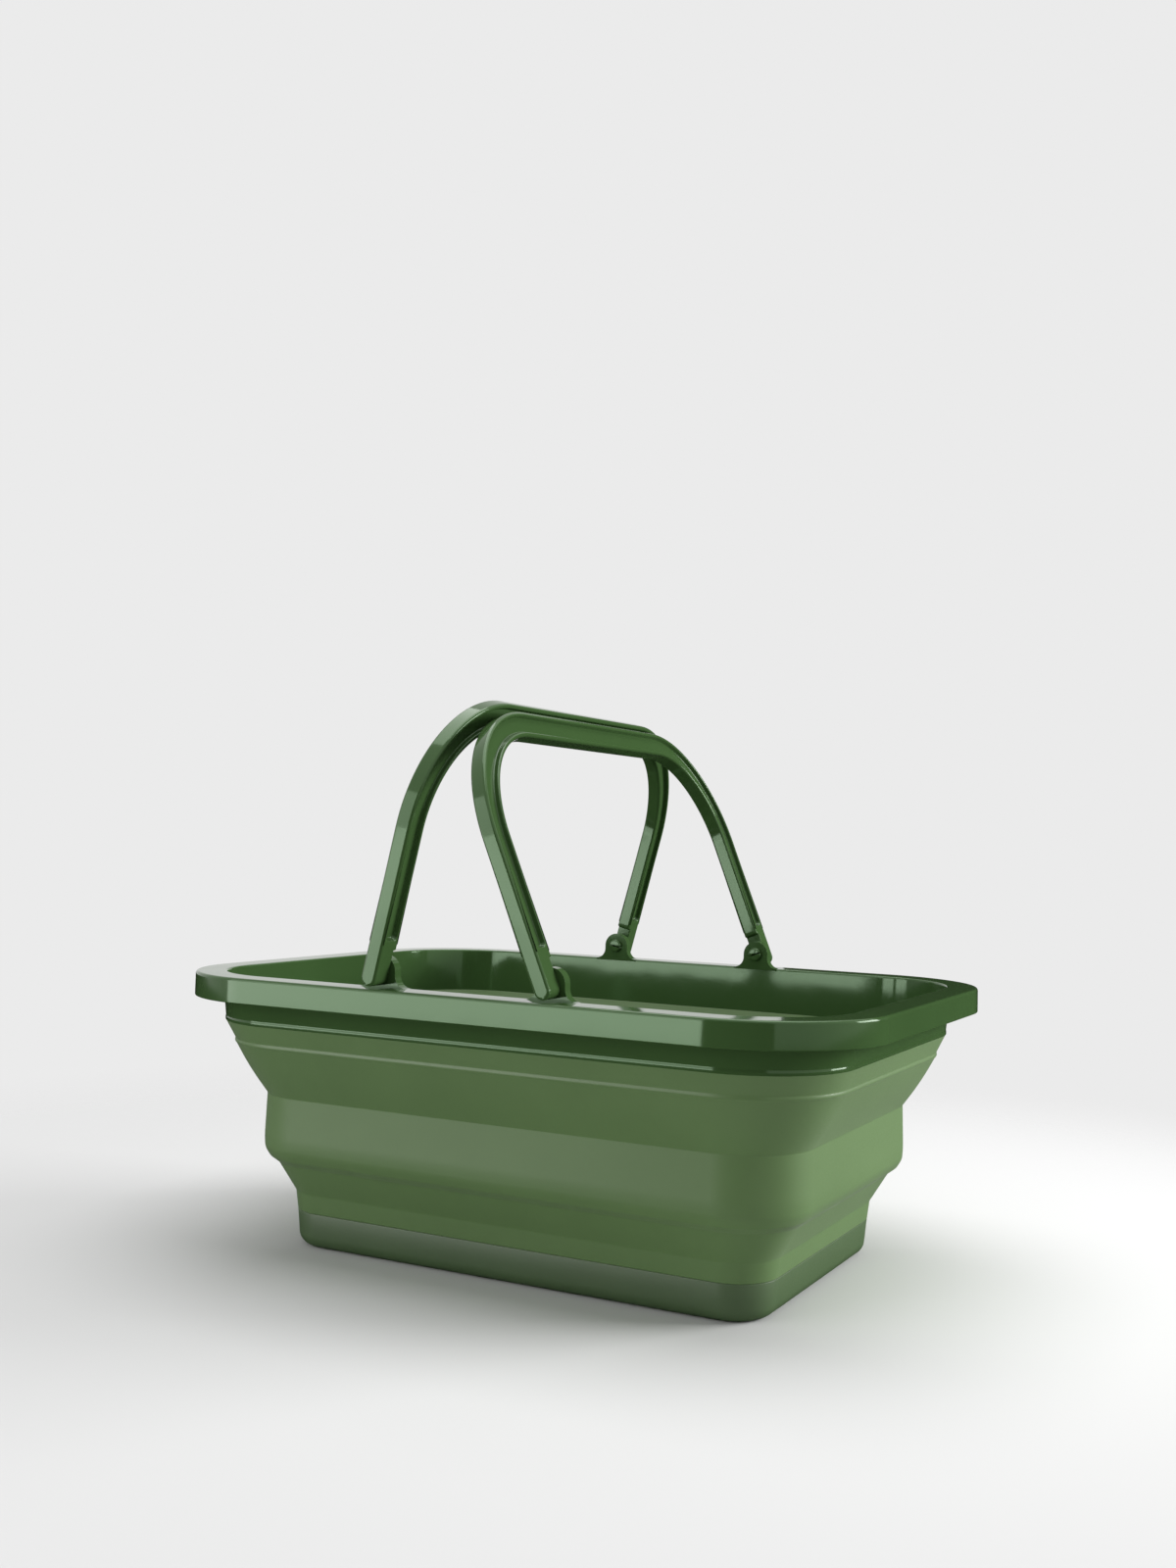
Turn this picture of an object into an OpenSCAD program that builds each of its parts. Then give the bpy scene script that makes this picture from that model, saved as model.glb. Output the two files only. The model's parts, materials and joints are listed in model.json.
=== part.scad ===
// Collapsible crate with a soft bellows wall and two swing handles.
// X runs along the crate, Y across it, and Z up from the surface that it stands on.

/* [Rim] */
// Length over the rim
rim_length = 380; // [340:1:460]
// Width over the rim
rim_width = 280; // [250:1:340]
// Height of the rim's top above the ground with both folds open
crate_height = 150; // [140:1:180]
// Outer corner radius of the rim
rim_corner = 66; // [60:1:72]
// Width of the flange on top of the rim, down to the inner edge
flange_width = 18.4; // [17.5:0.1:22]
// Thickness of the flange and of the skirt that hangs from it
rim_wall = 2.4; // [2:0.1:3]
// Height of the skirt
skirt_height = 12.8; // [9:0.1:15]
// Radius along the outer top edge of the rim
rim_edge_radius = 1.6; // [1:0.1:2]
// Height of the hard collar, from the flange's top to the soft wall
collar_height = 26; // [20:0.5:30]
// Thickness of the collar
collar_wall = 2.4; // [2:0.1:3]

/* [Bellows] */
// Thickness of the soft wall
bellows_wall = 2.4; // [1.6:0.1:3]
// Height of the soft cuff under the collar
top_cuff_height = 12; // [8:0.5:16]
// How far the top cuff draws in over its height
top_cuff_draw = 4; // [2:0.5:6]
// Height of the upper fold's slope
upper_fold_height = 27.5; // [22:0.5:30]
// How far the upper fold draws in over its height
upper_fold_draw = 15.5; // [12:0.5:18]
// How far the middle band widens to its bulge
band_flare = 1.5; // [0:0.5:3]
// Height of the rounded foot of the middle band
band_foot = 5; // [3:0.5:7]
// Thickness of the stiff middle band
band_wall = 3; // [2:0.1:3.6]
// Height of the lower fold's slope
lower_fold_height = 21.5; // [16:0.5:24]
// How far the lower fold draws in over its height
lower_fold_draw = 15.2; // [12:0.1:18]
// Height of the soft cuff on the base tray
bottom_cuff_height = 10.5; // [8:0.5:14]
// Share of the inward step that the corner radius loses from the rim to the base
corner_share = 0.85; // [0.7:0.01:0.95]

/* [Base] */
// Height of the base tray's wall
base_height = 20; // [15:0.5:25]
// How far the base tray's wall draws in from its top to its rounded bottom edge
base_draft = 0.8; // [0:0.1:2]
// Radius of the base tray's bottom edge
base_edge_radius = 7.5; // [4:0.5:10]
// Thickness of the base tray's wall and floor
base_wall = 2.4; // [2:0.1:3]
// Height of the tongue that keys the soft wall to the hard parts
key_height = 4; // [2:0.5:5]
// Thickness of that tongue
key_thick = 0.8; // [0.6:0.1:1]

/* [Handles] */
// Distance between the left and the right handle's pivots
pivot_spacing = 93; // [84:1:110]
// Height of a pivot above the rim's top
pivot_rise = 8; // [7.6:0.1:10]
// Height of a handle, from its pivot to the top of its grip
handle_reach = 135.5; // [115:0.5:137]
// Depth of a handle's section, in the plane of the handle
handle_depth = 13; // [11.5:0.5:14]
// Thickness of a handle, across its plane
handle_thick = 8.2; // [7.6:0.1:9]
// Outer corner radius of a handle
handle_corner = 65; // [50:1:66]
// Distance of a handle's outer face from the rim's outer edge
handle_inset = 1.5; // [1:0.1:2.5]
// Depth of the groove in each face of a handle
groove_depth = 2.4; // [1:0.1:2.6]
// Thickness of the two ribs beside the groove
groove_rib = 2.2; // [1.5:0.1:3]
// Lean of the left handle towards the middle, in degrees
left_lean = 14.6; // [10:0.1:17]
// Gap left between the two grips where they meet
grip_gap = 0.35; // [0.3:0.05:1]

/* [Pivots] */
// Radius of a split pin's shank
pin_radius = 2.4; // [2:0.1:2.6]
// Radius of a split pin's head
head_radius = 3.8; // [3.4:0.1:4.2]
// Height of a split pin's head
head_height = 2; // [1.5:0.1:3]
// Width of the slot across a split pin's head
slot_width = 0.9; // [0.6:0.1:1.2]
// Running clearance around the pin in its ear
bore_clearance = 0.08; // [0.05:0.01:0.1]
// Side clearance between pieces that turn past each other
side_clearance = 0.3; // [0.2:0.05:0.5]
// Thickness of an ear
ear_thick = 5; // [4:0.1:6]
// Radius of an ear's round top
ear_radius = 7.5; // [6.5:0.1:8]
// Length of an ear's foot on the flange
ear_foot = 25; // [20:0.5:30]

/* [Hidden] */

hard_green = "#40602f";
soft_green = "#6b8a59";
base_green = "#4c6440";

$fn = 96;
corner_steps = 10;
overlap = 1;

// Heights of the zones, from the rim down to the base.
collar_bottom_z = crate_height - collar_height;
upper_crease_z = collar_bottom_z - top_cuff_height;
band_top_z = upper_crease_z - upper_fold_height;
lower_crease_z = base_height + bottom_cuff_height;
band_bottom_z = lower_crease_z + lower_fold_height;
bulge_z = band_bottom_z + band_foot;

// Inward steps of the outer surface from the rim's outer edge, at those heights.
collar_in = flange_width - collar_wall;
upper_crease_in = collar_in + top_cuff_draw;
band_top_in = upper_crease_in + upper_fold_draw;
bulge_in = band_top_in - band_flare;
band_bottom_in = bulge_in + band_flare / 2;
lower_crease_in = band_bottom_in + lower_fold_draw;
base_top_in = lower_crease_in + 1;

pivot_x = pivot_spacing / 2;
pivot_z = crate_height + pivot_rise;
leg_outer_y = rim_width / 2 - handle_inset;
ear_inner_y = rim_width / 2 - flange_width + 1;
ear_outer_y = ear_inner_y + ear_thick;
lug_inner_y = ear_outer_y + side_clearance;
lug_end = pivot_rise - 1;
step_rise = ear_radius + 4;
groove_start = step_rise + 5;
pin_end_y = leg_outer_y - 3;

// The right handle leans until its top corner meets the left handle's face.
grip_swing = norm([handle_reach, handle_thick / 2]);
right_lean = asin((pivot_spacing * cos(left_lean) - handle_thick / 2 - grip_gap) / grip_swing)
    - atan(handle_thick / 2 / handle_reach) - left_lean;

function arc_points(cx, cy, r, a0, a1, n) =
    [for (i = [0 : n]) let (a = a0 + (a1 - a0) * i / n) [cx + r * cos(a), cy + r * sin(a)]];

// Corner radius of the wall where it stands `inset` in from the rim's outer edge, to a tenth.
function corner_at(inset) = round(10 * (rim_corner - corner_share * inset)) / 10;

// A level plate with rounded corners that stands `inset` in from the rim's outer edge.
module rounded_plate(inset, radius) {
    l = rim_length - 2 * inset;
    w = rim_width - 2 * inset;
    square([l - 2 * radius, w], center = true);
    square([l, w - 2 * radius], center = true);
    for (sx = [-1, 1], sy = [-1, 1])
        translate([sx * (l / 2 - radius), sy * (w / 2 - radius)]) circle(radius);
}

// One level ring of a rounded rectangle that stands `inset` in from the rim's outer edge.
function ring_points(inset, radius, z) =
    let (cx = rim_length / 2 - inset - radius, cy = rim_width / 2 - inset - radius)
    [for (quarter = [0 : 3], i = [0 : corner_steps])
        let (a = 90 * (quarter + i / corner_steps),
             sx = quarter == 0 || quarter == 3 ? 1 : -1,
             sy = quarter < 2 ? 1 : -1)
        [sx * cx + radius * cos(a), sy * cy + radius * sin(a), z]];

// Sweeps a profile, drawn as [inward step, height], round a rounded rectangle.
module sweep(inset, radius) {
    half_l = rim_length / 2 - inset;
    half_w = rim_width / 2 - inset;
    for (side = [0, 1]) mirror([0, side, 0])
        translate([radius - half_l, -half_w, 0]) rotate([90, 0, 90])
            linear_extrude(2 * (half_l - radius)) children();
    for (side = [0, 1]) mirror([side, 0, 0])
        translate([-half_l, half_w - radius, 0]) rotate([90, 0, 0])
            linear_extrude(2 * (half_w - radius)) children();
    for (mx = [0, 1], my = [0, 1]) mirror([mx, 0, 0]) mirror([0, my, 0])
        translate([half_l - radius, half_w - radius, 0])
            rotate_extrude(angle = 90) translate([radius, 0]) mirror([1, 0]) children();
}

// Joins a stack of rings into one closed tube whose last ring meets its first.
module ring_stack(rings) {
    count = len(rings[0]);
    stack = len(rings);
    points = [for (ring = rings) each ring];
    faces = [for (k = [0 : stack - 1], i = [0 : count - 1])
        let (next = (k + 1) % stack, j = (i + 1) % count)
        [k * count + i, k * count + j, next * count + j, next * count + i]];
    polyhedron(points = points, faces = faces, convexity = 6);
}

// A sloping soft wall between two creases, bowed outwards a little.
module fold_wall(top_in, top_z, bottom_in, bottom_z) {
    steps = 4;
    bow = 0.8;
    function step_in(t) = top_in + (bottom_in - top_in) * t - bow * sin(180 * t);
    function step_z(t) = top_z + (bottom_z - top_z) * t;
    outer = [for (k = [0 : steps]) let (t = k / steps)
        ring_points(step_in(t), corner_at(step_in(t)), step_z(t))];
    inner = [for (k = [steps : -1 : 0]) let (t = k / steps)
        ring_points(step_in(t) + bellows_wall, corner_at(step_in(t)) - bellows_wall, step_z(t))];
    ring_stack(concat(outer, inner));
}

// The slanting tongue of a hard wall that sits in a slot of the soft wall, from outside to inside.
// `draw` is the wall's inward step per millimetre of height, and `dir` is 1 for upwards.
function key_points(from, wall, draw, z, dir) =
    let (a = from + (wall - key_thick) / 2, b = a + key_thick, shift = draw * key_height)
    [[a, z], [a + shift, z + dir * key_height], [b + shift, z + dir * key_height], [b, z]];

function reversed(list) = [for (i = [len(list) - 1 : -1 : 0]) list[i]];

module base_tray() {
    radius = corner_at(base_top_in);
    edge_in = base_draft + base_edge_radius;
    color(base_green) {
        sweep(base_top_in, radius)
            polygon(concat(
                [[0, base_height]],
                arc_points(edge_in, base_edge_radius, base_edge_radius, 180, 270, 6),
                [[edge_in + overlap, 0], [edge_in + overlap, base_wall]],
                arc_points(edge_in, base_edge_radius, base_edge_radius - base_wall, 270, 180, 6),
                [[base_wall, base_height]],
                reversed(key_points(0, base_wall, 0, base_height, 1))));
        linear_extrude(base_wall) rounded_plate(base_top_in + edge_in, radius - edge_in);
    }
}

module bellows_bottom_cuff() {
    draw = base_top_in - lower_crease_in;
    color(soft_green) sweep(base_top_in, corner_at(base_top_in))
        polygon(concat(
            [[-draw, lower_crease_z], [0, base_height]],
            key_points(0, base_wall, 0, base_height, 1),
            [[base_wall, base_height], [bellows_wall - draw, lower_crease_z]]));
}

module bellows_lower_fold() {
    color(soft_green) fold_wall(band_bottom_in, band_bottom_z, lower_crease_in, lower_crease_z);
}

module bellows_middle_band() {
    foot = band_bottom_in - bulge_in;
    color(soft_green) sweep(bulge_in, corner_at(bulge_in))
        polygon([[band_flare, band_top_z], [0, bulge_z], [foot, band_bottom_z],
                 [foot + band_wall, band_bottom_z], [band_wall, bulge_z],
                 [band_flare + band_wall, band_top_z]]);
}

module bellows_upper_fold() {
    color(soft_green) fold_wall(upper_crease_in, upper_crease_z, band_top_in, band_top_z);
}

module bellows_top_cuff() {
    draw = top_cuff_draw / top_cuff_height;
    color(soft_green) sweep(collar_in, rim_corner - collar_in)
        polygon(concat(
            [[top_cuff_draw, upper_crease_z], [0, collar_bottom_z]],
            key_points(0, collar_wall, draw, collar_bottom_z, -1),
            [[collar_wall, collar_bottom_z], [top_cuff_draw + bellows_wall, upper_crease_z]]));
}

// One ear, with its bore, on the flange at the front right.
module ear() {
    slope = 6;
    translate([pivot_x, -ear_outer_y, pivot_z]) rotate([-90, 0, 0]) difference() {
        linear_extrude(ear_thick) {
            circle(ear_radius);
            difference() {
                translate([-ear_foot / 2, 0]) square([ear_foot, pivot_rise + overlap]);
                for (side = [-1, 1])
                    translate([side * (ear_radius + slope), pivot_rise - slope])
                        circle(slope);
                for (side = [0, 1]) mirror([side, 0])
                    translate([ear_radius, -overlap])
                        square([ear_foot, pivot_rise - slope + overlap]);
            }
        }
        translate([0, 0, -overlap])
            cylinder(h = ear_thick + 2 * overlap, r = pin_radius + bore_clearance);
    }
}

module rim_frame() {
    e = rim_edge_radius;
    skirt_z = crate_height - skirt_height;
    under_z = crate_height - rim_wall;
    draw = top_cuff_draw / top_cuff_height;
    color(hard_green) {
        sweep(0, rim_corner)
            polygon(concat(
                [[0, skirt_z]],
                arc_points(e, crate_height - e, e, 180, 90, 4),
                [[flange_width, crate_height], [flange_width, collar_bottom_z]],
                reversed(key_points(collar_in, collar_wall, draw, collar_bottom_z, -1)),
                [[collar_in, collar_bottom_z], [collar_in, under_z],
                 [rim_wall, under_z], [rim_wall, skirt_z]]));
        for (mx = [0, 1], my = [0, 1]) mirror([mx, 0, 0]) mirror([0, my, 0]) ear();
    }
}

// The grooved section of a handle: X runs in from its outer face, Y across its plane.
module handle_section() {
    t = handle_thick / 2;
    web = t - groove_depth;
    r = groove_rib;
    d = handle_depth;
    bevel = 0.6;
    difference() {
        translate([0, -t]) square([d, handle_thick]);
        for (side = [-1, 1])
            polygon([[r, side * (t + overlap)], [r, side * t], [r + bevel, side * web],
                     [d - r - bevel, side * web], [d - r, side * t], [d - r, side * (t + overlap)]]);
    }
}

// The foot of a leg: a solid stretch, then a thinner lug that passes outside the ear.
module leg_end() {
    t = handle_thick / 2;
    difference() {
        union() {
            translate([-t, leg_outer_y - handle_depth, step_rise])
                cube([handle_thick, handle_depth, groove_start - step_rise]);
            translate([-t, lug_inner_y, t - lug_end])
                cube([handle_thick, leg_outer_y - lug_inner_y, step_rise + lug_end - t]);
            translate([0, lug_inner_y, t - lug_end]) rotate([-90, 0, 0])
                cylinder(h = leg_outer_y - lug_inner_y, r = t);
        }
        translate([0, lug_inner_y - overlap, 0]) rotate([-90, 0, 0])
            cylinder(h = pin_end_y - lug_inner_y + overlap, r = pin_radius);
    }
}

// A handle that stands upright, with its pivots on the Y axis.
module handle() {
    bend_z = handle_reach - handle_corner;
    bend_y = leg_outer_y - handle_corner;
    translate([0, bend_y, handle_reach]) rotate([90, 90, 0])
        linear_extrude(2 * bend_y) handle_section();
    for (side = [0, 1]) mirror([0, side, 0]) {
        translate([0, bend_y, bend_z]) rotate([90, 0, 90])
            rotate_extrude(angle = 90) translate([handle_corner, 0]) mirror([1, 0]) handle_section();
        translate([0, leg_outer_y, groove_start]) rotate([0, 0, -90])
            linear_extrude(bend_z - groove_start) handle_section();
        leg_end();
    }
}

// The two split pins of a handle, with the slot across their heads.
module handle_pins() {
    head_end = ear_inner_y - side_clearance;
    slot_depth = head_height + ear_thick / 2;
    for (side = [0, 1]) mirror([0, side, 0]) difference() {
        translate([0, head_end - head_height, 0]) rotate([-90, 0, 0]) {
            cylinder(h = head_height, r = head_radius);
            cylinder(h = pin_end_y - head_end + head_height, r = pin_radius);
        }
        translate([-head_radius - overlap, head_end - head_height - overlap, -slot_width / 2])
            cube([2 * (head_radius + overlap), slot_depth + overlap, slot_width]);
    }
}

module place_left() {
    translate([-pivot_x, 0, pivot_z]) rotate([0, left_lean, 0]) children();
}

module place_right() {
    translate([pivot_x, 0, pivot_z]) rotate([0, -right_lean, 0]) children();
}

module left_handle() { color(hard_green) place_left() handle(); }

module right_handle() { color(hard_green) place_right() handle(); }

module left_handle_pins() { color(hard_green) place_left() handle_pins(); }

module right_handle_pins() { color(hard_green) place_right() handle_pins(); }

base_tray();
bellows_bottom_cuff();
bellows_lower_fold();
bellows_middle_band();
bellows_upper_fold();
bellows_top_cuff();
rim_frame();
left_handle();
right_handle();
left_handle_pins();
right_handle_pins();
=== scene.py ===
"""Looks of a collapsible crate: a glossy rim with two swing handles, a soft bellows wall and a hard base tray."""

import json
import logging
import math
from collections.abc import Callable, Iterator, Sequence
from contextlib import contextmanager
from dataclasses import dataclass
from enum import Enum

import bmesh
import bpy
from mathutils import Matrix, Vector


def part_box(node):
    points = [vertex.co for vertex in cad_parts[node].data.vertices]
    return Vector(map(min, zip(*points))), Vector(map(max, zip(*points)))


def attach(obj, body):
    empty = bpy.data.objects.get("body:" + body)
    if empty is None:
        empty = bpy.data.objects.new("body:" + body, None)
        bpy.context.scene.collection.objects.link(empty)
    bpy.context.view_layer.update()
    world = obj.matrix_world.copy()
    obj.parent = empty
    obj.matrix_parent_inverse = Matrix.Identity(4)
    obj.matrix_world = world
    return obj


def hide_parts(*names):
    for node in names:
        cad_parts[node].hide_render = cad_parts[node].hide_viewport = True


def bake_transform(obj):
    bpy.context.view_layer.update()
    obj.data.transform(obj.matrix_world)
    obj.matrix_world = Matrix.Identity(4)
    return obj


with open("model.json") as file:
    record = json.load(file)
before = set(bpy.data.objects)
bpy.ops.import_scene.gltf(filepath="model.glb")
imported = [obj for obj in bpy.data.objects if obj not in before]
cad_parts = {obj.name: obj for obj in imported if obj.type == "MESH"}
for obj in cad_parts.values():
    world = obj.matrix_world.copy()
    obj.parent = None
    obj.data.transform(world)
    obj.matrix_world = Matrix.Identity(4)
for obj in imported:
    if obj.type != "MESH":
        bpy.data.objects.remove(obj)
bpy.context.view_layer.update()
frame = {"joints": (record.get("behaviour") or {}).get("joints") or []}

MM = 0.001
log = logging.getLogger("crate")


class Part(Enum):
    """What an edit-mode selection is made of."""

    VERTS = "VERT"
    EDGES = "EDGE"
    FACES = "FACE"


class Side(Enum):
    """The two handles, by the sign of the end that each one stands at."""

    LEFT = -1
    RIGHT = 1


class Reach(Enum):
    """What a lamp does: it lights surfaces, shows in reflections, or does both."""

    BOTH = "both"
    LIGHT = "light"
    REFLECTION = "reflection"


# ---------------------------------------------------------------- modelling


def deselect() -> None:
    """Leaves no object selected."""
    for chosen in bpy.context.selected_objects:
        chosen.select_set(False)


def adopt(name: str) -> bpy.types.Object:
    """Names the primitive that was just added, and moves its place from its object into its mesh.

    Args:
        name: The piece's name.

    Returns:
        The active object.
    """
    bpy.ops.object.transform_apply(location=True, rotation=True, scale=True)
    piece = bpy.context.active_object
    piece.name = name
    piece.data.name = name
    return piece


@contextmanager
def editing(piece: bpy.types.Object) -> Iterator[None]:
    """Opens one mesh in edit mode with nothing selected, and closes it again.

    Args:
        piece: The mesh object to edit.
    """
    deselect()
    piece.select_set(True)
    bpy.context.view_layer.objects.active = piece
    bpy.ops.object.mode_set(mode="EDIT")
    bpy.ops.mesh.select_all(action="DESELECT")
    yield
    bpy.ops.object.mode_set(mode="OBJECT")


def pick(part: Part, test: Callable[[bmesh.types.BMVert], bool]) -> int:
    """Selects the vertices, edges or faces in edit mode that pass a test, and nothing else.

    Args:
        part: What to select.
        test: Says whether one of them is wanted.

    Returns:
        How many were selected.
    """
    bpy.ops.mesh.select_mode(type=part.value)
    bpy.ops.mesh.select_all(action="DESELECT")
    mesh = bpy.context.edit_object.data
    shape = bmesh.from_edit_mesh(mesh)
    rows = {Part.VERTS: shape.verts, Part.EDGES: shape.edges, Part.FACES: shape.faces}[part]
    wanted = [row for row in rows if test(row)]
    for row in wanted:
        row.select_set(True)
    shape.select_flush_mode()
    bmesh.update_edit_mesh(mesh)
    return len(wanted)


def push(x: float = 0.0, y: float = 0.0, z: float = 0.0) -> None:
    """Extrudes what is selected by a step in metres.

    Args:
        x: Step along X.
        y: Step along Y.
        z: Step along Z.
    """
    bpy.ops.mesh.extrude_region_move(TRANSFORM_OT_translate={"value": (x, y, z)})


def apply_modifier(piece: bpy.types.Object, kind: str, **settings: object) -> None:
    """Adds one modifier with its settings and applies it.

    Args:
        piece: The object it works on.
        kind: The modifier's type.
        **settings: The modifier's own values.
    """
    deselect()
    piece.select_set(True)
    bpy.context.view_layer.objects.active = piece
    bpy.ops.object.modifier_add(type=kind)
    modifier = piece.modifiers[-1]
    for name, value in settings.items():
        setattr(modifier, name, value)
    bpy.ops.object.modifier_apply(modifier=modifier.name)


def boolean(piece: bpy.types.Object, tool: bpy.types.Object, operation: str) -> None:
    """Joins or cuts a piece with another solid, which is then removed.

    Args:
        piece: The object that is kept.
        tool: The solid that is added or cut away.
        operation: UNION or DIFFERENCE.
    """
    apply_modifier(piece, "BOOLEAN", operation=operation, object=tool, solver="EXACT")
    bpy.data.objects.remove(tool)


def close_up(piece: bpy.types.Object, reach: float = 0.02 * MM) -> None:
    """Merges doubled vertices and turns every face outwards.

    Args:
        piece: The mesh object.
        reach: How near two vertices are merged.
    """
    with editing(piece):
        bpy.ops.mesh.select_all(action="SELECT")
        bpy.ops.mesh.remove_doubles(threshold=reach)
        bpy.ops.mesh.normals_make_consistent(inside=False)


def polish(piece: bpy.types.Object, edge: float = 0.0, flat: bool = False, angle: float = 38.0,
           clamp: bool = True) -> None:
    """Rounds a piece's sharp edges and shades it smooth.

    Args:
        piece: The mesh object.
        edge: Width of the rounding in metres, or 0 for none.
        flat: Whether broad flat faces keep their own direction right up to the rounding.
        angle: Angle in degrees above which an edge stays sharp.
        clamp: Whether the rounding gets smaller where it would overlap.
    """
    if edge:
        apply_modifier(piece, "BEVEL", width=edge, segments=3, limit_method="ANGLE",
                       angle_limit=math.radians(38), use_clamp_overlap=clamp)
    close_up(piece)
    deselect()
    piece.select_set(True)
    bpy.context.view_layer.objects.active = piece
    bpy.ops.object.shade_smooth_by_angle(angle=math.radians(angle))
    if flat:
        apply_modifier(piece, "WEIGHTED_NORMAL", keep_sharp=True, weight=80)


def settle(piece: bpy.types.Object, move: Sequence[float], turn: Sequence[float] = (0, 0, 0)) -> None:
    """Turns and moves a piece to its place, and leaves its object at the origin.

    Args:
        piece: The mesh object.
        move: Step to its place in metres.
        turn: Angles about X, Y and Z in radians.
    """
    deselect()
    piece.select_set(True)
    bpy.context.view_layer.objects.active = piece
    piece.rotation_euler = turn
    piece.location = move
    bpy.ops.object.transform_apply(location=True, rotation=True, scale=True)


# ---------------------------------------------------------------- walls that run round the crate


@dataclass(frozen=True)
class Key:
    """One corner of a wall's profile, in millimetres.

    Attributes:
        inset: Step in from the rim's outer edge.
        height: Height above the ground.
        corner: Radius of the wall's corners there, seen from above.
        blend: How far along both sides of this corner its rounding starts.
    """

    inset: float
    height: float
    corner: float
    blend: float = 0.0

    def vector(self) -> Vector:
        """The corner as one vector of its inset, height and radius."""
        return Vector((self.inset, self.height, self.corner))


def rounded(keys: Sequence[Key], closed: bool = False, steps: int = 4) -> list[Vector]:
    """Rounds the corners of a profile.

    Args:
        keys: The profile's corners in order.
        closed: Whether the last corner joins the first.
        steps: Number of chords in each rounding.

    Returns:
        The rings of the wall, each as its inset, height and corner radius.
    """
    rings = []
    count = len(keys)
    for place, key in enumerate(keys):
        here = key.vector()
        at_end = not closed and place in (0, count - 1)
        if at_end or not key.blend:
            rings.append(here)
            continue
        before = keys[place - 1].vector() - here
        after = keys[(place + 1) % count].vector() - here
        start = here + before * (key.blend / math.hypot(before.x, before.y))
        end = here + after * (key.blend / math.hypot(after.x, after.y))
        for step in range(steps + 1):
            t = step / steps
            rings.append(start * (1 - t) ** 2 + here * (2 * t * (1 - t)) + end * t ** 2)
    return rings


@dataclass(frozen=True)
class Plan:
    """The outline that all walls share, seen from above.

    Attributes:
        half_length: Half the rim's length in millimetres.
        half_width: Half the rim's width in millimetres.
        steps: Number of chords in each corner.
    """

    half_length: float
    half_width: float
    steps: int = 20

    def _centre(self, ring: Vector, quarter: Vector) -> Vector:
        """The centre of a ring's corner arc in metres, in the quarter of the plan that a vertex lies in."""
        across = self.half_length - ring.x - ring.z, self.half_width - ring.x - ring.z
        return Vector((math.copysign(across[0] * MM, quarter.x), math.copysign(across[1] * MM, quarter.y), ring.y * MM))

    def _reshape(self, piece: bpy.types.Object, old: Vector, new: Vector) -> None:
        """Turns the selected ring into the next one, and keeps its corners true arcs.

        Args:
            piece: The mesh object in edit mode.
            old: The ring's inset, height and corner radius so far.
            new: Those that it gets.
        """
        shape = bmesh.from_edit_mesh(piece.data)
        for vert in shape.verts:
            if vert.select:
                vert.co = self._centre(new, vert.co) + (vert.co - self._centre(old, vert.co)) * (new.z / old.z)
        bmesh.update_edit_mesh(piece.data)

    def loft(self, name: str, rings: Sequence[Vector], closed: bool) -> bpy.types.Object:
        """Extrudes a plane with rounded corners from ring to ring.

        Args:
            name: The piece's name.
            rings: The rings in order, each as its inset, height and corner radius.
            closed: Whether the last ring joins the first. If not, both ends keep a face.

        Returns:
            The wall as a mesh object.
        """
        inset, height, corner = rings[0]
        deselect()
        bpy.ops.mesh.primitive_plane_add(size=2, location=(0, 0, height * MM), scale=(1, 1, 1))
        piece = adopt(name)
        with editing(piece):
            bpy.ops.mesh.select_mode(type="EDGE" if closed else "FACE")
            bpy.ops.mesh.select_all(action="SELECT")
            bpy.ops.transform.resize(
                value=((self.half_length - inset) * MM, (self.half_width - inset) * MM, 1),
                center_override=(0, 0, height * MM))
            bpy.ops.mesh.bevel(offset_type="ABSOLUTE", offset=corner * MM, segments=self.steps, profile=0.5,
                               affect="VERTICES", clamp_overlap=False)
            bpy.ops.mesh.select_all(action="SELECT")
            if closed:
                bpy.ops.mesh.delete(type="ONLY_FACE")
                bpy.ops.mesh.select_all(action="SELECT")
            stops = [*rings, rings[0]] if closed else list(rings)
            for old, new in zip(stops, stops[1:]):
                push(z=0.0)
                self._reshape(piece, old, new)
        close_up(piece, 0.002 * MM)
        return piece


# ---------------------------------------------------------------- finishes


def linear(code: str) -> tuple[float, float, float, float]:
    """Turns an sRGB hex value into a linear colour.

    Args:
        code: Six hex digits after a #.

    Returns:
        Red, green, blue and a full alpha.
    """
    shares = [int(code[place:place + 2], 16) / 255 for place in (1, 3, 5)]
    return (*(c / 12.92 if c <= 0.04045 else ((c + 0.055) / 1.055) ** 2.4 for c in shares), 1.0)


def add(tree: bpy.types.NodeTree, kind: str, sockets: dict[str | int, object], **settings: object) -> bpy.types.Node:
    """Adds a node with its settings, values and links.

    Args:
        tree: The node tree.
        kind: The node's type without its ShaderNode prefix.
        sockets: What goes into its inputs, by name or number: a value, or another node's output.
        **settings: The node's own attributes.

    Returns:
        The node.
    """
    node = tree.nodes.new("ShaderNode" + kind)
    for name, value in settings.items():
        setattr(node, name, value)
    for name, value in sockets.items():
        named = (found for found in node.inputs if name in (found.name, found.identifier))
        socket = node.inputs[name] if isinstance(name, int) else next(named)
        if isinstance(value, bpy.types.NodeSocket):
            tree.links.new(value, socket)
        else:
            socket.default_value = value
    return node


def pitch(millimetres: float) -> float:
    """The scale of a noise texture whose features lie that far apart on Object coordinates."""
    return 1 / (millimetres * MM)


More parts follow.
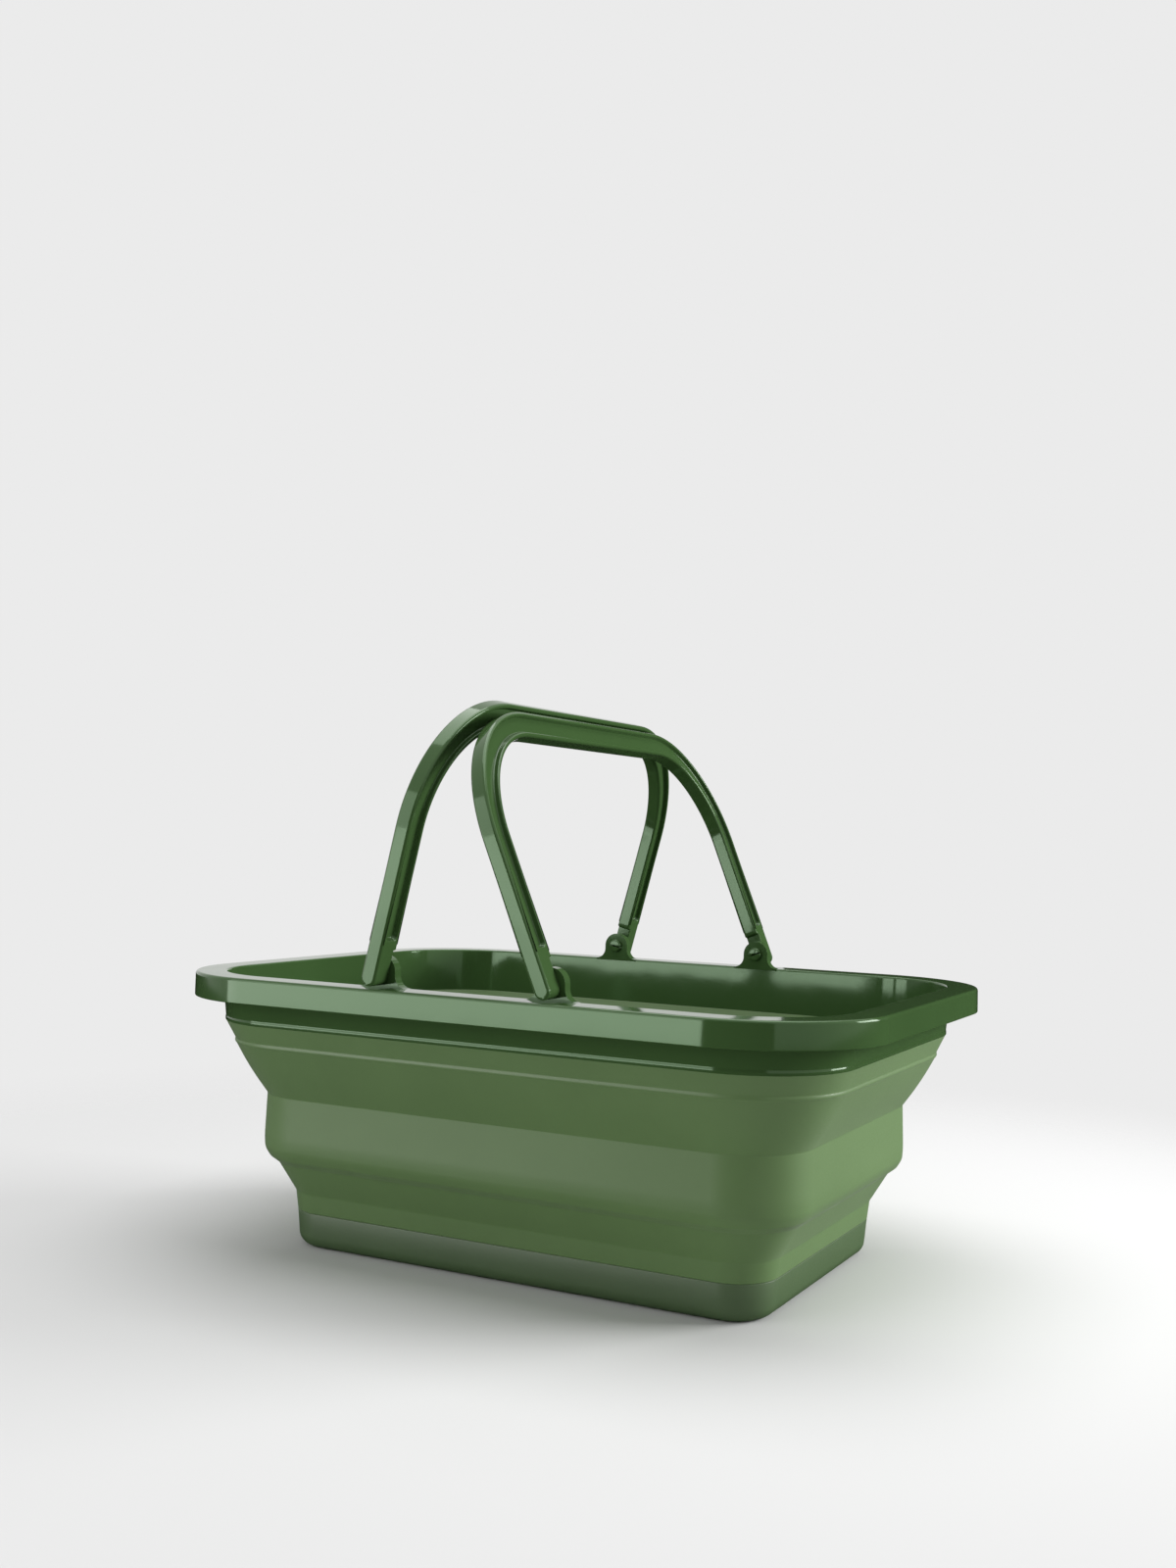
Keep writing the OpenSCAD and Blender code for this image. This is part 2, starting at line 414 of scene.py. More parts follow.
@dataclass(frozen=True)
class Moulding:
    """A moulded plastic. Colours are sRGB hex values and lengths are in millimetres.

    Attributes:
        name: The material's name.
        body: The plastic's main colour.
        shade: The darker colour where the pigment flowed thicker.
        roughness: Roughness of the polished parts.
        dull: Roughness where the surface is handled or weathered.
        ior: Index of refraction.
        flow: Size of the clouds of colour that the melt leaves.
        grain: Size of the surface's grain.
        relief: Height of the grain.
        wave: Size of the long waves that shrinkage leaves in the surface.
        swell: Height of those waves.
        sheen: Weight of the soft bloom on a rubbery surface.
        tint: Colour that the pigment lends to its reflections.
    """

    name: str
    body: str
    shade: str
    roughness: float
    dull: float
    ior: float
    flow: float
    grain: float
    relief: float
    wave: float
    swell: float
    sheen: float = 0.0
    tint: str = "#ffffff"

    def material(self) -> bpy.types.Material:
        """Makes the node material.

        Returns:
            The material.
        """
        material = bpy.data.materials.new(self.name)
        material.use_nodes = True
        tree = material.node_tree
        tree.nodes.clear()
        place = add(tree, "TexCoord", {}).outputs["Object"]
        flow = add(tree, "TexNoise", {"Vector": place, "Scale": pitch(self.flow), "Detail": 3.0})
        colour = add(tree, "Mix", {"Factor_Float": flow.outputs["Fac"], "A_Color": linear(self.shade),
                                   "B_Color": linear(self.body)}, data_type="RGBA")
        grain = add(tree, "TexNoise", {"Vector": place, "Scale": pitch(self.grain), "Detail": 2.0})
        rough = add(tree, "MapRange", {"Value": grain.outputs["Fac"], "From Min": 0.3, "From Max": 0.7,
                                       "To Min": self.roughness, "To Max": self.dull})
        wave = add(tree, "TexNoise", {"Vector": place, "Scale": pitch(self.wave), "Detail": 1.0})
        swell = add(tree, "Bump", {"Height": wave.outputs["Fac"], "Distance": self.swell * MM, "Strength": 1.0})
        relief = add(tree, "Bump", {"Height": grain.outputs["Fac"], "Distance": self.relief * MM,
                                    "Strength": 1.0, "Normal": swell.outputs["Normal"]})
        shader = add(tree, "BsdfPrincipled", {
            "Base Color": colour.outputs[2], "Roughness": rough.outputs["Result"], "IOR": self.ior,
            "Normal": relief.outputs["Normal"], "Sheen Weight": self.sheen, "Sheen Roughness": 0.5,
            "Specular Tint": linear(self.tint)})
        add(tree, "OutputMaterial", {"Surface": shader.outputs["BSDF"]})
        return material


# Polypropylene moulded in polished steel: a deep colour under a mirror-like skin with slow shrinkage waves.
GLOSSY_POLYPROPYLENE = Moulding("glossy_polypropylene", body="#435f36", shade="#3b552f", roughness=0.07,
                                dull=0.11, ior=1.49, flow=60, grain=1.2, relief=0.002, wave=24, swell=0.11,
                                tint="#dcffd8")
# Thermoplastic rubber moulded in a fine-blasted tool: a lighter satin green with a soft bloom and faint flow clouds.
SATIN_RUBBER = Moulding("satin_thermoplastic_rubber", body="#678551", shade="#5f7c4a", roughness=0.36,
                        dull=0.46, ior=1.5, flow=45, grain=0.9, relief=0.012, wave=30, swell=0.06, sheen=0.12)
# Polypropylene moulded in a blasted tool: darker and flatter than the rim, with a fine grain.
MATT_POLYPROPYLENE = Moulding("matt_polypropylene", body="#566c4a", shade="#4f6444", roughness=0.36,
                              dull=0.46, ior=1.49, flow=50, grain=0.8, relief=0.014, wave=40, swell=0.04)


def dress(piece: bpy.types.Object, finish: bpy.types.Material) -> None:
    """Gives a piece its material.

    Args:
        piece: The mesh object.
        finish: The material.
    """
    piece.data.materials.clear()
    piece.data.materials.append(finish)


def report(piece: bpy.types.Object, *nodes: str) -> None:
    """Logs a piece's size beside the box of the CAD nodes that it stands for.

    Args:
        piece: The finished mesh object.
        *nodes: The CAD nodes.
    """
    rows = [vert.co for vert in piece.data.vertices]
    low = [1000 * min(row[axis] for row in rows) for axis in range(3)]
    high = [1000 * max(row[axis] for row in rows) for axis in range(3)]
    boxes = [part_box(node) for node in nodes]
    cad_low = [1000 * min(box[0][axis] for box in boxes) for axis in range(3)]
    cad_high = [1000 * max(box[1][axis] for box in boxes) for axis in range(3)]
    text = " ".join(f"{a:.1f}..{b:.1f}({c:.1f}..{d:.1f})" for a, b, c, d in zip(low, high, cad_low, cad_high))
    log.info("%s: %d faces, mm (CAD) %s", piece.name, len(piece.data.polygons), text)


# ---------------------------------------------------------------- the crate's sub-assemblies


def top(node: str) -> float:
    """Height of a CAD node's highest point in millimetres."""
    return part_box(node)[1].z / MM


def foot(node: str) -> float:
    """Height of a CAD node's lowest point in millimetres."""
    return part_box(node)[0].z / MM


def inset_of(node: str) -> float:
    """How far a CAD node's end stands in from the rim's end, in millimetres."""
    return (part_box("rim_frame")[1].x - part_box(node)[1].x) / MM


@dataclass
class Rim:
    """The glossy rim: a flange with a skirt, a collar that holds the soft wall, and four ears. Millimetres.

    Attributes:
        plan: The crate's outline.
        finish: The rim's material.
        pivot_x: Distance of the ears from the middle, along the crate.
        pivot_z: Height of the handles' pivots.
        corner: Outer corner radius.
        flange: Width of the flange at the collar's foot.
        wall: Thickness of the flange, the skirt and the collar.
        skirt: Height of the skirt.
        skirt_lean: How far the skirt leans in at its top, so that it leaves its mould.
        collar_lean: How far the collar draws in towards its foot.
        outer_edge: Rounding of the outer top edge.
        inner_edge: Rounding of the inner top edge.
        lip: How far the lip stands out at the collar's foot.
        ear_radius: Radius of an ear's round top.
        ear_thick: Thickness of an ear.
        ear_fillet: Radius of the hollow flare at an ear's foot.
        ear_edge: Rounding of an ear's edges.
        ear_inner: Distance of an ear's inner face from the middle, across the crate.
        bore: Radius of an ear's bore.
    """

    plan: Plan
    finish: bpy.types.Material
    pivot_x: float
    pivot_z: float
    corner: float = 66.0
    flange: float = 18.4
    wall: float = 2.4
    skirt: float = 12.8
    skirt_lean: float = 0.6
    collar_lean: float = 1.6
    outer_edge: float = 1.6
    inner_edge: float = 1.2
    lip: float = 0.25
    ear_radius: float = 7.5
    ear_thick: float = 5.0
    ear_fillet: float = 6.0
    ear_edge: float = 1.1
    ear_inner: float = 122.6
    bore: float = 2.48

    @property
    def height(self) -> float:
        """Height of the flange's top."""
        return top("rim_frame") - self.ear_radius - 8.0

    def _key(self, inset: float, height: float, blend: float = 0.0) -> Key:
        """A corner of the profile, with the rim's own corner radius at that inset."""
        return Key(inset, height, self.corner - inset, blend)

    def ring_wall(self) -> bpy.types.Object:
        """Lofts the flange, the skirt and the collar as one wall."""
        high, low = self.height, self.height - self.skirt
        hem = top("bellows_top_cuff")
        outside = self.flange - self.wall
        keys = [
            self._key(0, low, 0.45),
            self._key(self.skirt_lean, high, self.outer_edge),
            self._key(self.flange - self.collar_lean, high, self.inner_edge),
            self._key(self.flange, hem, 0.3),
            self._key(outside - self.lip, hem, 0.35),
            self._key(outside - self.lip, hem + 1.7, 0.5),
            self._key(outside, hem + 2.4, 0.5),
            self._key(outside - self.collar_lean, high - self.wall, 0.8),
            self._key(self.skirt_lean + self.wall, high - self.wall, 0.8),
            self._key(self.wall, low, 0.45),
        ]
        return self.plan.loft("rim", rounded(keys, closed=True), closed=True)

    def ear(self) -> bpy.types.Object:
        """Models one ear at the front right: a round-topped plate with a flared foot and a bore."""
        root, rise = 1.0, self.pivot_z - self.height
        reach = self.ear_radius + self.ear_fillet
        deselect()
        bpy.ops.mesh.primitive_plane_add(size=1, location=(0, -root / 2 * MM, 0))
        ear = adopt("ear")
        with editing(ear):
            bpy.ops.mesh.select_all(action="SELECT")
            bpy.ops.transform.resize(value=(2 * reach * MM, root * MM, 1), center_override=(0, -root / 2 * MM, 0))
            for side in (-1, 1):
                bpy.ops.mesh.select_all(action="SELECT")
                bpy.ops.mesh.bisect(plane_co=(side * self.ear_radius * MM, 0, 0), plane_no=(1, 0, 0))
            pick(Part.EDGES, lambda edge: all(
                abs(vert.co.y) < 1e-6 and abs(vert.co.x) < (self.ear_radius + 0.1) * MM for vert in edge.verts))
            push(y=(rise + self.ear_radius) * MM)
            bpy.ops.mesh.select_all(action="SELECT")
            bpy.ops.mesh.dissolve_faces()
            pick(Part.VERTS, lambda vert: vert.co.y > rise * MM)
            bpy.ops.mesh.bevel(offset_type="ABSOLUTE", offset=0.995 * self.ear_radius * MM, segments=14,
                               affect="VERTICES", clamp_overlap=False)
            pick(Part.VERTS, lambda vert: abs(vert.co.y) < 1e-6 and abs(abs(vert.co.x) - self.ear_radius * MM) < 1e-6)
            bpy.ops.mesh.bevel(offset_type="ABSOLUTE", offset=0.99 * self.ear_fillet * MM, segments=8,
                               affect="VERTICES", clamp_overlap=False)
            bpy.ops.mesh.select_all(action="SELECT")
            push(z=self.ear_thick * MM)
        close_up(ear)
        apply_modifier(ear, "BEVEL", width=self.ear_edge * MM, segments=4, limit_method="ANGLE",
                       angle_limit=math.radians(60), use_clamp_overlap=True)
        settle(ear, (self.pivot_x * MM, -self.ear_inner * MM, self.height * MM), (math.radians(90), 0, 0))
        deselect()
        bpy.ops.mesh.primitive_cylinder_add(
            vertices=40, radius=self.bore * MM, depth=3 * self.ear_thick * MM, rotation=(math.radians(90), 0, 0),
            location=(self.pivot_x * MM, -self.ear_inner * MM, self.pivot_z * MM))
        boolean(ear, adopt("bore"), "DIFFERENCE")
        apply_modifier(ear, "MIRROR", use_axis=(True, True, False))
        close_up(ear)
        return ear

    def build(self) -> None:
        """Builds the rim with its ears and puts it on its body."""
        rim = self.ring_wall()
        boolean(rim, self.ear(), "UNION")
        polish(rim, flat=True)
        dress(rim, self.finish)
        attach(rim, "rim")
        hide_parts("rim_frame")
        report(rim, "rim_frame")


@dataclass
class Bellows:
    """The soft wall, in two pieces that meet under the stiff middle band. Millimetres.

    Attributes:
        plan: The crate's outline.
        finish: The soft wall's material.
        wall: Thickness of the wall.
        corner: Corner radius that the wall would have at the rim's outer edge.
        corner_share: Share of the inset that the corner radius loses.
        bow: How far the upper fold bows outwards.
        bead: How far the bead along the top crease stands out.
        seam_inset: Inset of the seam between the two pieces.
        fold_steps: Number of rings in a fold.
    """

    plan: Plan
    finish: bpy.types.Material
    wall: float = 2.4
    corner: float = 66.0
    corner_share: float = 0.85
    bow: float = 0.8
    bead: float = 0.55
    seam_inset: float = 35.7
    fold_steps: int = 9

    def _key(self, inset: float, height: float, blend: float = 0.0) -> Key:
        """A corner of the profile, with the soft wall's corner radius at that inset."""
        return Key(inset, height, self.corner - self.corner_share * inset, blend)

    def _fold(self, start: Key, end: Key, bow: float) -> list[Key]:
        """The keys between two creases, bowed outwards."""
        keys = []
        for step in range(1, self.fold_steps):
            t = step / self.fold_steps
            inset = start.inset + (end.inset - start.inset) * t - bow * math.sin(math.pi * t)
            keys.append(self._key(inset, start.height + (end.height - start.height) * t))
        return keys

    def _shell(self, name: str, keys: Sequence[Key]) -> bpy.types.Object:
        """Lofts a profile of the outer face, with an inner face one wall further in.

        Args:
            name: The piece's name.
            keys: The outer profile from the top down.

        Returns:
            The closed wall.
        """
        outer = rounded(keys)
        inner = [Vector((ring.x + self.wall, ring.y, ring.z - self.wall)) for ring in reversed(outer)]
        piece = self.plan.loft(name, outer + inner, closed=True)
        polish(piece, angle=60)
        dress(piece, self.finish)
        return piece

    def upper(self) -> bpy.types.Object:
        """Builds the top cuff, the upper fold and the middle band."""
        collar, crease = top("bellows_top_cuff"), foot("bellows_top_cuff")
        band, seam = top("bellows_middle_band"), foot("bellows_middle_band")
        collar_inset, crease_inset = inset_of("bellows_top_cuff"), inset_of("bellows_upper_fold")
        bulge_inset = inset_of("bellows_middle_band")
        start = self._key(crease_inset + 0.25, crease - 0.5, 0.4)
        end = self._key(bulge_inset + 1.5, band, 0.4)
        keys = [
            Key(collar_inset, collar, self.corner - collar_inset),
            self._key(crease_inset - 0.3, crease + 2.4, 0.5),
            self._key(crease_inset - self.bead, crease + 1.4, 0.5),
            self._key(crease_inset - self.bead, crease + 0.5, 0.5),
            start, *self._fold(start, end, self.bow), end,
            self._key(bulge_inset, seam + 8, 3.5),
            self._key(bulge_inset + 0.3, seam + 2.6, 1.8),
            self._key(self.seam_inset, seam),
        ]
        return self._shell("bellows_upper", keys)

    def lower(self) -> bpy.types.Object:
        """Builds the lower fold, with its shoulder, and the bottom cuff."""
        seam, crease, base = top("bellows_lower_fold"), foot("bellows_lower_fold"), foot("bellows_bottom_cuff")
        crease_inset = inset_of("bellows_bottom_cuff")
        shoulder = self._key(self.seam_inset + 5.3, seam - 5.2, 1.0)
        end = self._key(crease_inset, crease, 0.9)
        keys = [
            self._key(self.seam_inset, seam),
            self._key(self.seam_inset + 0.9, seam - 1.6, 0.6),
            shoulder, *self._fold(shoulder, end, 0.0), end,
            self._key(inset_of("base_tray") - 0.05, base + 0.4, 0.3),
            self._key(inset_of("base_tray") + 0.35, base),
        ]
        return self._shell("bellows_lower", keys)

    def build(self) -> None:
        """Builds both pieces and hides the CAD nodes that they stand for."""
        upper = self.upper()
        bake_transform(upper)
        nodes = ("bellows_top_cuff", "bellows_upper_fold", "bellows_middle_band")
        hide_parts(*nodes)
        report(upper, *nodes)
        lower = self.lower()
        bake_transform(lower)
        nodes = ("bellows_lower_fold", "bellows_bottom_cuff")
        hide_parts(*nodes)
        report(lower, *nodes)


@dataclass
class BaseTray:
    """The hard tray that the crate stands on. Millimetres.

    Attributes:
        plan: The crate's outline.
        finish: The tray's material.
        corner: Corner radius of the tray's top.
        draft: How far the wall draws in down to the rounded edge.
        edge: Radius of the rounded bottom edge.
        wall: Thickness of the wall and the floor.
        steps: Number of chords in the rounded bottom edge.
    """

    plan: Plan
    finish: bpy.types.Material
    corner: float = 22.7
    draft: float = 0.8
    edge: float = 7.5
    wall: float = 2.4
    steps: int = 10

    def build(self) -> None:
        """Builds the tray and puts it on its body."""
        start, high = inset_of("base_tray"), foot("bellows_bottom_cuff")
        centre = start + self.draft + self.edge

        def ring(inset: float, height: float) -> Vector:
            """A ring of the tray, whose corner radius shrinks with its inset."""
            return Vector((inset, height, self.corner - (inset - start)))

        def arc(radius: float) -> list[Vector]:
            """The rounded edge from the floor up to the wall."""
            angles = [math.radians(90 * step / self.steps) for step in range(self.steps + 1)]
            return [ring(centre - radius * math.sin(a), self.edge - radius * math.cos(a)) for a in angles]

        inner = arc(self.edge - self.wall)
        outer = arc(self.edge)
        rings = inner + [ring(start + self.wall, high), ring(start + 0.35, high), ring(start + 0.1, high - 0.1),
                         ring(start, high - 0.4), *reversed(outer)]
        tray = self.plan.loft("base_tray_shell", rings, closed=False)
        polish(tray, angle=50)
        dress(tray, self.finish)
        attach(tray, "base")
        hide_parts("base_tray")
        report(tray, "base_tray")


@dataclass
class Handle:
    """One swing handle with its two split pins, modelled upright and then leant into place. Millimetres.

    Attributes:
        side: Which of the two handles it is.
        finish: The handle's material.
        lean: Angle in degrees by which it leans towards the middle.
        pivot: The middle of its pivot axis in metres.
        outer: Distance of its outer face from the middle, across the crate.
        reach: Height of the grip's top above the pivot.
        depth: Depth of its section.
        thick: Thickness of its section.
        bend: Radius of its outer corners.
        rib: Thickness of the ribs beside its grooves.
        groove: Depth of its grooves.
        draft: How far a groove's side slopes in.
        step: Height of the step above the pivot.
        groove_end: Height of the grooves' ends above the pivot.
        lug_inner: Distance of the lug's inner face from the middle.
        lug_end: How far the lug reaches below the pivot.
        edge: Rounding of its edges.
        crown: Rounding of its four long edges.
        pin: Radius of a pin's shank.
        head: Radius of a pin's head.
        head_inner: Distance of the head's seat from the middle.
        head_height: Height of a pin's head.
        slot: Width of the slot across a pin's head.
        pin_end: Distance of a shank's end from the middle.
    """

    side: Side
    finish: bpy.types.Material
    lean: float
    pivot: Vector
    outer: float = 138.5
    reach: float = 135.5
    depth: float = 13.0
    thick: float = 8.2
    bend: float = 65.0
    rib: float = 2.2
    groove: float = 2.4
    draft: float = 0.6
    step: float = 11.5
    groove_end: float = 16.5
    lug_inner: float = 127.9
    lug_end: float = 7.0
    edge: float = 0.55
    crown: float = 1.4
    pin: float = 2.4
    head: float = 3.8
    head_inner: float = 122.3
    head_height: float = 2.0
    slot: float = 0.9
    pin_end: float = 135.5

    @property
    def name(self) -> str:
        """The CAD node's name."""
        return f"{self.side.name.lower()}_handle"

    def _place(self, piece: bpy.types.Object) -> None:
        """Leans a piece that was modelled upright and moves it to the pivots."""
        settle(piece, self.pivot, (0, -self.side.value * math.radians(self.lean), 0))

    def _sweep(self) -> bpy.types.Object:
        """Extrudes and spins half of the solid bar, from the step up to the middle of the grip."""
        middle = (0, (self.outer - self.depth / 2) * MM, self.step * MM)
        bend_y, bend_z = (self.outer - self.bend) * MM, (self.reach - self.bend) * MM
        deselect()
        bpy.ops.mesh.primitive_plane_add(size=1, location=middle)
        bar = adopt(self.name + "_bar")
        with editing(bar):
            bpy.ops.mesh.select_all(action="SELECT")
            bpy.ops.transform.resize(value=(self.thick * MM, self.depth * MM, 1), center_override=middle)
            push(z=(self.groove_end - self.rib - self.step) * MM)
            push(z=bend_z - (self.groove_end - self.rib) * MM)
            bpy.ops.mesh.spin(steps=28, angle=math.radians(90), center=(0, bend_y, bend_z), axis=(-1, 0, 0))
            push(y=-bend_y)
            bpy.ops.mesh.delete(type="FACE")
        return bar

    def _lug(self, bar: bpy.types.Object) -> None:
        """Draws the thinner lug with its round end down from the outer part of the step."""
        with editing(bar):
            low = self.step * MM
            pick(Part.FACES, lambda face: all(abs(vert.co.z - low) < 1e-6 for vert in face.verts))
            bpy.ops.mesh.bisect(plane_co=(0, self.lug_inner * MM, 0), plane_no=(0, 1, 0))
            pick(Part.FACES, lambda face: all(
                abs(vert.co.z - low) < 1e-6 and vert.co.y > (self.lug_inner - 0.1) * MM for vert in face.verts))
            push(z=-(self.step + self.lug_end) * MM)
            pick(Part.EDGES, lambda edge: all(vert.co.z < (0.1 - self.lug_end) * MM for vert in edge.verts)
                 and abs(edge.verts[0].co.y - edge.verts[1].co.y) > 5 * MM)
            bpy.ops.mesh.bevel(offset=0.498 * self.thick * MM, segments=10, affect="EDGES", clamp_overlap=False)

    def _grooves(self, bar: bpy.types.Object) -> None:
        """Sinks a groove with rounded ends into both faces of the bar."""
        start = (self.groove_end - self.rib) * MM
        with editing(bar):
            for side in (-1, 1):
                pick(Part.FACES, lambda face: face.normal.x * side > 0.99
                     and face.calc_center_median().z > start)
                bpy.ops.mesh.inset(thickness=self.rib * MM, depth=0, use_even_offset=True)
                bpy.ops.mesh.inset(thickness=self.draft * MM, depth=-self.groove * MM, use_even_offset=True)
            pick(Part.EDGES, self._is_groove_corner)
            bpy.ops.mesh.bevel(offset=2.4 * MM, segments=5, affect="EDGES")

    def _is_groove_corner(self, edge: bmesh.types.BMEdge) -> bool:
        """Whether an edge is one of the short slanting ones in the corners of a groove's end."""
        a, b = (vert.co for vert in edge.verts)
        sunk = abs(abs(a.x) - abs(b.x)) > 0.9 * self.groove * MM
        return sunk and max(a.z, b.z) < (self.groove_end + 2) * MM

    def _is_crowned(self, face: bmesh.types.BMFace) -> bool:
        """Whether a face lies on the handle's outside or on the side that the hand holds."""
        centre = face.calc_center_median()
        y = max(abs(centre.y) - (self.outer - self.bend) * MM, 0)
        z = max(centre.z - (self.reach - self.bend) * MM, 0)
        away = math.hypot(y, z) - self.bend * MM
        return min(abs(away), abs(away + self.depth * MM)) < 0.1 * MM and abs(face.normal.x) < 0.5

    def bar(self) -> bpy.types.Object:
        """Models the whole handle."""
        bar = self._sweep()
        self._lug(bar)
        apply_modifier(bar, "MIRROR", use_axis=(False, True, False), merge_threshold=0.01 * MM)
        close_up(bar)
        self._grooves(bar)
        with editing(bar):
            pick(Part.EDGES, lambda edge: sum(self._is_crowned(face) for face in edge.link_faces) == 1)
            bpy.ops.mesh.bevel(offset=self.crown * MM, segments=5, affect="EDGES")
        polish(bar, edge=self.edge * MM, flat=True, clamp=False)
        self._place(bar)
        return bar

    def pins(self) -> bpy.types.Object:
        """Models the two pins, each with a domed head that a slot crosses."""
        deselect()
        face = self.head_inner - self.head_height
        bpy.ops.mesh.primitive_cylinder_add(
            vertices=48, radius=self.head * MM, depth=self.head_height * MM, rotation=(math.radians(90), 0, 0),
            location=(0, (face + self.head_height / 2) * MM, 0))
        pins = adopt(self.name + "_split_pins")
        with editing(pins):
            seat = self.head_inner * MM
            pick(Part.FACES, lambda found: all(abs(vert.co.y - seat) < 1e-6 for vert in found.verts))
            bpy.ops.mesh.inset(thickness=(self.head - self.pin) * MM)
            push(y=(self.pin_end - self.head_inner) * MM)
            pick(Part.EDGES, lambda found: all(abs(vert.co.y - face * MM) < 1e-6 for vert in found.verts))
            bpy.ops.mesh.bevel(offset=0.9 * MM, segments=5, affect="EDGES")
        deselect()
        bpy.ops.mesh.primitive_cube_add(size=1, location=(0, face * MM, 0), scale=(
            4 * self.head * MM, 2 * (self.head_height + 2.5) * MM, self.slot * MM))
        boolean(pins, adopt("slot_cut"), "DIFFERENCE")
        apply_modifier(pins, "MIRROR", use_axis=(False, True, False))
        polish(pins, angle=35)
        self._place(pins)
        return pins

    def build(self) -> None:
        """Builds the handle and its pins, and puts both on the handle's body."""
        for piece, node in ((self.bar(), self.name), (self.pins(), self.name + "_pins")):
            dress(piece, self.finish)
            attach(piece, self.name)
            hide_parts(node)
            report(piece, node)


# ---------------------------------------------------------------- studio


@dataclass
class Studio:
    """The floor, the pale surroundings, the soft lamps and the camera. Metres.

    Attributes:
        pale: Colour of the surroundings.
        floor: Colour of the floor.
        ambient: Strength of the even light from all round.
    """

    pale: str = "#ebebeb"
    floor: str = "#e4e4e4"
    ambient: float = 0.27

    def world(self) -> None:
        """Sets even light, and a pale surrounding where the camera or a reflection looks past the object."""
        world = bpy.data.worlds.new("studio")
        bpy.context.scene.world = world
        world.use_nodes = True
        tree = world.node_tree
        tree.nodes.clear()
        ray = add(tree, "LightPath", {}).outputs
        direct = add(tree, "Math", {0: ray["Is Camera Ray"], 1: ray["Is Glossy Ray"]}, operation="MAXIMUM")
        seen = add(tree, "Math", {0: direct.outputs[0], 1: ray["Is Transmission Ray"]}, operation="MAXIMUM")
        light = add(tree, "Background", {"Color": (1, 1, 1, 1), "Strength": self.ambient})
        pale = add(tree, "Background", {"Color": linear(self.pale), "Strength": 1.0})
        mixed = add(tree, "MixShader", {"Fac": seen.outputs[0], 1: light.outputs[0], 2: pale.outputs[0]})
        add(tree, "OutputWorld", {"Surface": mixed.outputs[0]})

    def ground(self) -> None:
        """Lays a pale floor that fades into the surroundings far from the object."""
        deselect()
        bpy.ops.mesh.primitive_circle_add(vertices=96, radius=3.2, fill_type="NGON")
        floor = adopt("floor")
        material = bpy.data.materials.new("pale_floor")
        material.use_nodes = True
        tree = material.node_tree
        tree.nodes.clear()
        place = add(tree, "TexCoord", {}).outputs["Object"]
        far = add(tree, "VectorMath", {"Vector": place}, operation="LENGTH").outputs["Value"]
        fade = add(tree, "MapRange", {"Value": far, "From Min": 0.24, "From Max": 0.75}, interpolation_type="SMOOTHSTEP")
        paint = add(tree, "BsdfDiffuse", {"Color": linear(self.floor)})
        clear = add(tree, "BsdfTransparent", {})
        mixed = add(tree, "MixShader", {"Fac": fade.outputs["Result"], 1: paint.outputs[0], 2: clear.outputs[0]})
        add(tree, "OutputMaterial", {"Surface": mixed.outputs[0]})
        floor.data.materials.append(material)
        floor.visible_glossy = False

    def table(self) -> None:
        """Lays a dark table top that only reflections see, as under a product in a studio."""
        deselect()
        bpy.ops.mesh.primitive_circle_add(vertices=96, radius=3.2, fill_type="NGON", location=(0, 0, -MM))
        self._hide(adopt("dark_table"))

    @staticmethod
    def _hide(board: bpy.types.Object) -> None:
        """Covers a board with dark cloth and lets nothing but reflections see it."""
        material = bpy.data.materials.new("dark_cloth")
        material.use_nodes = True
        tree = material.node_tree
        tree.nodes.clear()
        cloth = add(tree, "BsdfDiffuse", {"Color": linear("#1c1e1c")})
        add(tree, "OutputMaterial", {"Surface": cloth.outputs[0]})
        board.data.materials.append(material)
        board.visible_camera = board.visible_diffuse = board.visible_shadow = board.visible_transmission = False

    @staticmethod
    def lamp(name: str, place: Sequence[float], aim: Sequence[float], size: tuple[float, float],
             radiance: float, reach: Reach = Reach.BOTH) -> None:
        """Adds one soft lamp.

        Args:
            name: The lamp's name.
            place: Where it stands.
            aim: What it points at.
            size: Its width and height.
            radiance: Its brightness, where 1 is as bright as a white wall that renders white.
            reach: Whether it lights surfaces, shows in reflections, or does both.
        """
        light = bpy.data.lights.new(name, "AREA")
        light.shape = "RECTANGLE"
        light.size, light.size_y = size
        light.energy = radiance * math.pi * size[0] * size[1]
        lamp = bpy.data.objects.new(name, light)
        lamp.location = place
        lamp.rotation_euler = (Vector(aim) - Vector(place)).to_track_quat("-Z", "Y").to_euler()
        lamp.visible_camera = False
        lamp.visible_diffuse = reach is not Reach.REFLECTION
        lamp.visible_glossy = reach is not Reach.LIGHT
        bpy.context.scene.collection.objects.link(lamp)

    def lamps(self) -> None:
        """Sets a wide softbox at the left front, one at the right, and a broad one overhead."""
        place, aim, size = (-0.61, -0.975, 0.4), (0.0, 0.0, 0.4), (0.9, 0.75)
        self.lamp("left_softbox", place, aim, size, 2.0)
        self.lamp("left_sheen", (-0.59, -0.945, 0.13), (0.0, 0.0, 0.13), (0.9, 0.22), 2.6, Reach.REFLECTION)
        self.lamp("right_softbox", (1.35, 0.95, 0.52), (0.15, 0.0, 0.1), (1.0, 0.6), 9.0)
        self.lamp("right_fill", (1.38, 0.98, 0.53), (0.15, 0.0, 0.1), (1.0, 0.6), 9.0, Reach.LIGHT)
        self.lamp("overhead_softbox", (0.0, 0.1, 1.5), (0.0, 0.0, 0.1), (1.6, 1.2), 2.6)

